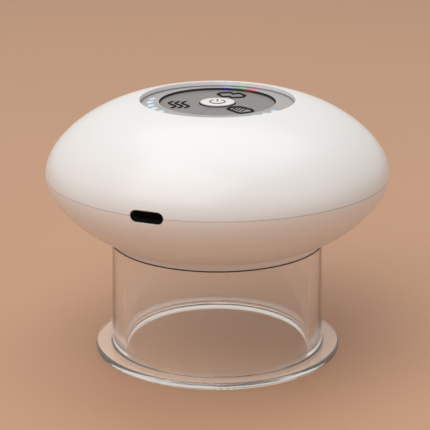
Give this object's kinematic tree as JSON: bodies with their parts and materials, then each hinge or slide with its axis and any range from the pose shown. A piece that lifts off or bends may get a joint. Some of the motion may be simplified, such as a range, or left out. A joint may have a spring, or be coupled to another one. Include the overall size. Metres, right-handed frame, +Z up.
{
  "type": "electric cupping massager",
  "caption": "Lens-shaped electric cupping massager on a clear suction cup, with a round key panel on top, indicator lights, and a charging port in its side.",
  "frame": {"origin": "middle of the base, where the cup's mouth rests", "axes": "+Z up through the body's axis; -Y towards the user, who reads the panel from there; the charging port is left of the front"},
  "size_m": [0.1, 0.1, 0.0755],
  "materials": {
    "white_shell": "glossy moulded plastic",
    "panel_grey": "satin moulded plastic",
    "key_grey": "satin moulded plastic",
    "button_silver": "pearl coated plastic",
    "clear_cup": "clear polished plastic",
    "clear_window": "clear polished plastic",
    "light_ice": "lit diffusing plastic",
    "light_blue": "lit diffusing plastic",
    "light_green": "lit diffusing plastic",
    "light_red": "lit diffusing plastic",
    "black_plastic": "moulded plastic",
    "natural_plastic": "moulded plastic",
    "board_green": "solder mask over glass fibre",
    "lamp_white": "lamp package",
    "steel": "plated steel",
    "black_steel": "blackened steel",
    "cell_wrap": "shrink film",
    "magnet_grey": "sintered ferrite",
    "copper": "enamelled winding",
    "aluminium": "satin",
    "amber_film": "film",
    "silicone": "translucent silicone",
    "black_rubber": "matte",
    "foam": "open foam",
    "wire_red": "insulation"
  },
  "bodies": {
    "housing": {"upper_shell": "white_shell", "lower_shell": "white_shell", "panel_ring": "panel_grey", "heat_level_lights": "light_ice", "suction_level_lights": "light_ice", "mode_light_blue": "light_blue", "mode_light_green": "light_green", "mode_light_red": "light_red", "key_guide": "black_plastic", "main_board": "board_green", "board_screws": "steel", "indicator_leds": "lamp_white", "switch_bodies": "black_plastic", "board_parts": "black_plastic", "cup_socket": "panel_grey", "inner_frame": "natural_plastic", "battery_cell": "steel", "battery_sleeve": "cell_wrap", "battery_tabs": "steel", "motor_can": "steel", "motor_end_cap": "black_plastic", "motor_magnets": "magnet_grey", "pump_housing": "black_plastic", "wobble_plate": "natural_plastic", "pump_diaphragm": "black_rubber", "pump_valve_plate": "natural_plastic", "pump_cover": "black_plastic", "pump_screws": "steel", "motor_sleeve": "black_rubber", "suction_elbow": "silicone", "valve_yoke": "steel", "valve_coil": "copper", "valve_spring": "steel", "light_board": "board_green", "treatment_leds": "lamp_white", "light_window": "clear_window", "inlet_filter": "foam", "heating_plate": "aluminium", "heater_film": "amber_film", "port_bezel": "black_plastic", "usb_socket": "black_steel", "usb_tongue": "black_plastic", "charging_board": "board_green", "shell_screws": "steel", "lead_wires": "wire_red"},
    "cup_assembly": {"cup": "clear_cup", "cup_seal": "silicone"},
    "power_button": {"power_button": "button_silver", "power_plunger": "natural_plastic"},
    "heat_key": {"key_heat": "key_grey", "heat_plunger": "natural_plastic"},
    "scrape_key": {"key_scrape": "key_grey", "scrape_plunger": "natural_plastic"},
    "suction_key": {"key_suction": "key_grey", "suction_plunger": "natural_plastic"},
    "pump_rotor": {"motor_armature": "copper", "motor_shaft": "steel", "pump_crank": "natural_plastic"},
    "valve_core": {"valve_plunger": "steel", "valve_tip": "black_rubber"}
  },
  "joints": [
    {"name": "cup_pull", "type": "slide", "parent": "housing", "child": "cup_assembly", "axis": [0, 0, -1], "range_m": [0, 0.008]},
    {"name": "power_press", "type": "slide", "parent": "housing", "child": "power_button", "axis": [0, 0, -1], "range_m": [0, 0.0005], "stiffness_N_per_m": 1500, "springref_m": -0.0006},
    {"name": "heat_press", "type": "slide", "parent": "housing", "child": "heat_key", "axis": [0, 0, -1], "range_m": [0, 0.0004], "stiffness_N_per_m": 1500, "springref_m": -0.0006},
    {"name": "scrape_press", "type": "slide", "parent": "housing", "child": "scrape_key", "axis": [0, 0, -1], "range_m": [0, 0.0004], "stiffness_N_per_m": 1500, "springref_m": -0.0006},
    {"name": "suction_press", "type": "slide", "parent": "housing", "child": "suction_key", "axis": [0, 0, -1], "range_m": [0, 0.0004], "stiffness_N_per_m": 1500, "springref_m": -0.0006},
    {"name": "pump_spin", "type": "hinge", "parent": "housing", "child": "pump_rotor", "pos_m": [-0.018, 0.0129, 0.0545], "axis": [1, 0, 0], "continuous": true},
    {"name": "valve_lift", "type": "slide", "parent": "housing", "child": "valve_core", "axis": [0, 0, 1], "range_m": [0, 0.0012], "stiffness_N_per_m": 250, "springref_m": -0.002, "deforming": ["valve_spring"]}
  ]
}
